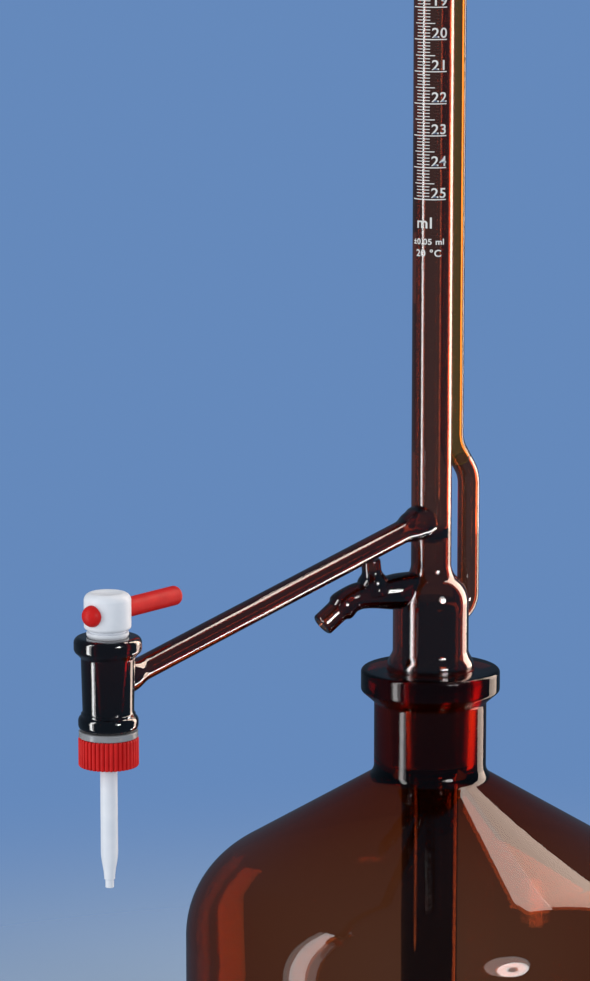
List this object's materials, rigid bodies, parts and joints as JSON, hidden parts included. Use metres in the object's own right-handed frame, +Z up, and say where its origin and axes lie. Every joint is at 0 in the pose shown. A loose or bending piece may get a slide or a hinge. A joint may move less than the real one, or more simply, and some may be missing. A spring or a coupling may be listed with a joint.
{
  "type": "automatic zero burette",
  "caption": "Brown glass burette that sets its own zero, standing in the ground neck of a squat reservoir bottle, with a riser, a sloping side arm and a lever stopcock.",
  "frame": {"origin": "middle of the bottle's base, on the bench", "axes": "+Z up along the burette, -X along the side arm to the stopcock, +X to the riser"},
  "size_m": [0.2486, 0.166, 0.6838],
  "materials": {
    "bottle_glass": "brown glass, clear and glossy",
    "burette_glass": "dark brown glass tube, clear and glossy, white enamel scale",
    "white_plastic": "white waxy plastic",
    "red_plastic": "red moulded plastic",
    "clear_plastic": "grey translucent plastic",
    "black_rubber": "black rubber"
  },
  "bodies": {
    "bottle": {"reservoir_bottle": "bottle_glass"},
    "burette": {"ground_cone": "burette_glass", "joint_bell": "burette_glass", "dip_tube": "burette_glass", "burette_tube": "burette_glass", "riser_tube": "burette_glass", "overflow_bend": "burette_glass", "zero_bulb": "burette_glass", "zero_tip": "burette_glass", "top_vent": "burette_glass", "side_arm": "burette_glass", "stopcock_barrel": "burette_glass", "hose_olive": "burette_glass", "vent_stub": "burette_glass"},
    "key": {"stopcock_key": "white_plastic", "handle_lever": "red_plastic", "jet_tip": "white_plastic"},
    "seals": {"sealing_washer": "clear_plastic", "o_ring": "black_rubber"},
    "nut": {"retaining_nut": "red_plastic"}
  },
  "joints": [
    {"name": "burette_lift", "type": "slide", "parent": "bottle", "child": "burette", "axis": [0, 0, 1], "range_m": [0, 0.19]},
    {"name": "key_turn", "type": "hinge", "parent": "burette", "child": "key", "pos_m": [-0.155, 0, 0.205], "axis": [0, 0, 1], "continuous": true},
    {"name": "seal_drop", "type": "slide", "parent": "key", "child": "seals", "axis": [0, 0, -1], "range_m": [0, 0.0031]},
    {"name": "nut_turn", "type": "hinge", "parent": "seals", "child": "nut", "pos_m": [-0.155, 0, 0.1845], "axis": [0, 0, -1], "range_deg": [0, 720]}
  ],
  "couplings": [
    {"joint": "seal_drop", "follows": "nut_turn", "m_per_rad": 0.00023873}
  ]
}
